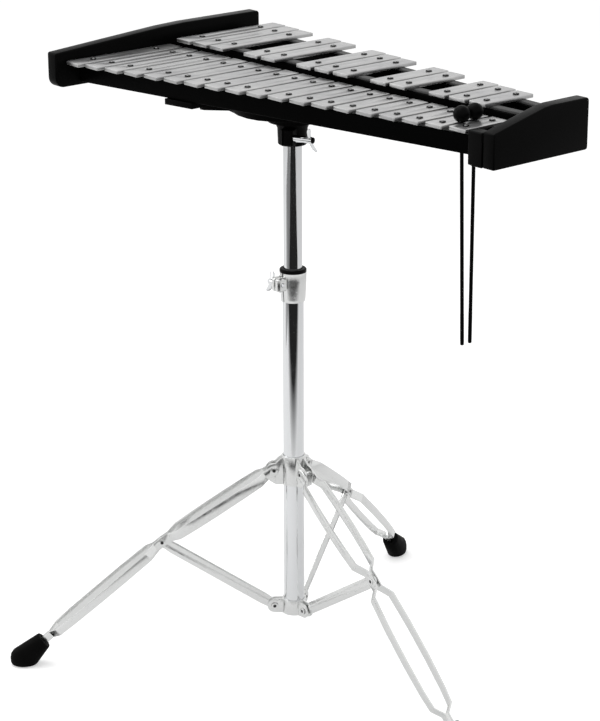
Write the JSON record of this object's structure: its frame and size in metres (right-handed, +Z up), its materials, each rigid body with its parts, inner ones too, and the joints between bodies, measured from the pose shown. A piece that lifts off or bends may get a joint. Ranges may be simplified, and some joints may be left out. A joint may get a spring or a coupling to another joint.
{
  "type": "metallophone on a folding stand",
  "caption": "Two rows of flat aluminium bars on a black tapered frame, with hanging mallets, on a chrome column with a folding tripod.",
  "frame": {"origin": "on the floor, under the middle of the whole object's box", "axes": "+X along the row of bars towards the high notes, +Y from the player's side to the back, +Z up"},
  "size_m": [0.633, 0.614, 0.7558],
  "materials": {
    "bar_aluminium": "satin anodised",
    "rail_black": "satin black lacquer, with a grey felt strip",
    "board_black": "satin black lacquer",
    "coated_steel_black": "satin black powder coat",
    "chrome": "polished",
    "foot_rubber": "matte",
    "bush_plastic": "matte",
    "mallet_black": "satin"
  },
  "bodies": {
    "stand_base": {"lower_tube": "chrome", "lower_collar": "chrome", "height_collar": "chrome", "height_bush": "bush_plastic"},
    "height_wing_bolt": {"height_wing_bolt": "chrome"},
    "mast": {"upper_tube": "chrome"},
    "instrument": {"bar_A5": "bar_aluminium", "bar_A6": "bar_aluminium", "bar_A7": "bar_aluminium", "bar_Asharp5": "bar_aluminium", "bar_Asharp6": "bar_aluminium", "bar_Asharp7": "bar_aluminium", "bar_B5": "bar_aluminium", "bar_B6": "bar_aluminium", "bar_B7": "bar_aluminium", "bar_C6": "bar_aluminium", "bar_C7": "bar_aluminium", "bar_C8": "bar_aluminium", "bar_Csharp6": "bar_aluminium", "bar_Csharp7": "bar_aluminium", "bar_D6": "bar_aluminium", "bar_D7": "bar_aluminium", "bar_Dsharp6": "bar_aluminium", "bar_Dsharp7": "bar_aluminium", "bar_E6": "bar_aluminium", "bar_E7": "bar_aluminium", "bar_F5": "bar_aluminium", "bar_F6": "bar_aluminium", "bar_F7": "bar_aluminium", "bar_Fsharp5": "bar_aluminium", "bar_Fsharp6": "bar_aluminium", "bar_Fsharp7": "bar_aluminium", "bar_G5": "bar_aluminium", "bar_G6": "bar_aluminium", "bar_G7": "bar_aluminium", "bar_Gsharp5": "bar_aluminium", "bar_Gsharp6": "bar_aluminium", "bar_Gsharp7": "bar_aluminium", "rail_natural_front": "rail_black", "rail_natural_rear": "rail_black", "rail_sharp_front": "rail_black", "rail_sharp_rear": "rail_black", "end_board_low": "board_black", "end_board_high": "board_black", "end_cleat": "board_black", "mounting_tray": "coated_steel_black", "receiver": "coated_steel_black"},
    "receiver_wing_bolt": {"receiver_wing_bolt": "chrome"},
    "mallet_1": {"mallet_1": "mallet_black"},
    "mallet_2": {"mallet_2": "mallet_black"},
    "crown": {"crown": "chrome"},
    "brace_1": {"brace_1": "chrome"},
    "leg_1": {"leg_1": "chrome", "foot_1": "foot_rubber"},
    "brace_2": {"brace_2": "chrome"},
    "leg_2": {"leg_2": "chrome", "foot_2": "foot_rubber"},
    "brace_3": {"brace_3": "chrome"},
    "leg_3": {"leg_3": "chrome", "foot_3": "foot_rubber"}
  },
  "joints": [
    {"name": "brace_1_fold", "type": "hinge", "parent": "stand_base", "child": "brace_1", "pos_m": [-0.0588, -0.03588, 0.067], "axis": [-0.8171, 0.5764, 0], "range_deg": [0, 46.5]},
    {"name": "leg_1_fold", "type": "hinge", "parent": "brace_1", "child": "leg_1", "pos_m": [-0.13852, -0.14889, 0.158], "axis": [-0.8171, 0.5764, 0], "range_deg": [-93, 0]},
    {"name": "brace_2_fold", "type": "hinge", "parent": "stand_base", "child": "brace_2", "pos_m": [-0.0198, -0.01786, 0.067], "axis": [-0.0906, -0.9959, 0], "range_deg": [0, 46.5]},
    {"name": "leg_2_fold", "type": "hinge", "parent": "brace_2", "child": "leg_2", "pos_m": [0.11793, -0.03039, 0.158], "axis": [-0.0906, -0.9959, 0], "range_deg": [-93, 0]},
    {"name": "brace_3_fold", "type": "hinge", "parent": "stand_base", "child": "brace_3", "pos_m": [-0.0549, 0.0069, 0.067], "axis": [0.9078, 0.4194, 0], "range_deg": [0, 46.5]},
    {"name": "leg_3_fold", "type": "hinge", "parent": "brace_3", "child": "leg_3", "pos_m": [-0.11291, 0.13245, 0.158], "axis": [0.9078, 0.4194, 0], "range_deg": [-93, 0]},
    {"name": "crown_rise", "type": "hinge", "parent": "leg_1", "child": "crown", "pos_m": [-0.0588, -0.03588, 0.249], "axis": [-0.8171, 0.5764, 0], "range_deg": [0, 46.5]},
    {"name": "height_slide", "type": "slide", "parent": "stand_base", "child": "mast", "axis": [0, 0, 1], "range_m": [-0.14, 0.12]},
    {"name": "instrument_swivel", "type": "hinge", "parent": "mast", "child": "instrument", "pos_m": [-0.0445, -0.01561, 0.67], "axis": [0, 0, 1], "continuous": true},
    {"name": "height_wing_bolt_turn", "type": "hinge", "parent": "stand_base", "child": "height_wing_bolt", "pos_m": [-0.0523, -0.03761, 0.4885], "axis": [-1, 0, 0], "continuous": true},
    {"name": "receiver_wing_bolt_turn", "type": "hinge", "parent": "instrument", "child": "receiver_wing_bolt", "pos_m": [-0.02484, -0.02961, 0.6675], "axis": [0.9063, 0.4226, 0], "continuous": true},
    {"name": "mallet_1_lift", "type": "slide", "parent": "instrument", "child": "mallet_1", "axis": [0, 0, 1], "range_m": [0, 0.3]},
    {"name": "mallet_2_lift", "type": "slide", "parent": "instrument", "child": "mallet_2", "axis": [0, 0, 1], "range_m": [0, 0.3]}
  ],
  "couplings": [
    {"joint": "leg_1_fold", "follows": "brace_1_fold", "ratio": -2},
    {"joint": "brace_2_fold", "follows": "brace_1_fold", "ratio": 1},
    {"joint": "leg_2_fold", "follows": "brace_1_fold", "ratio": -2},
    {"joint": "brace_3_fold", "follows": "brace_1_fold", "ratio": 1},
    {"joint": "leg_3_fold", "follows": "brace_1_fold", "ratio": -2},
    {"joint": "crown_rise", "follows": "brace_1_fold", "ratio": 1}
  ]
}
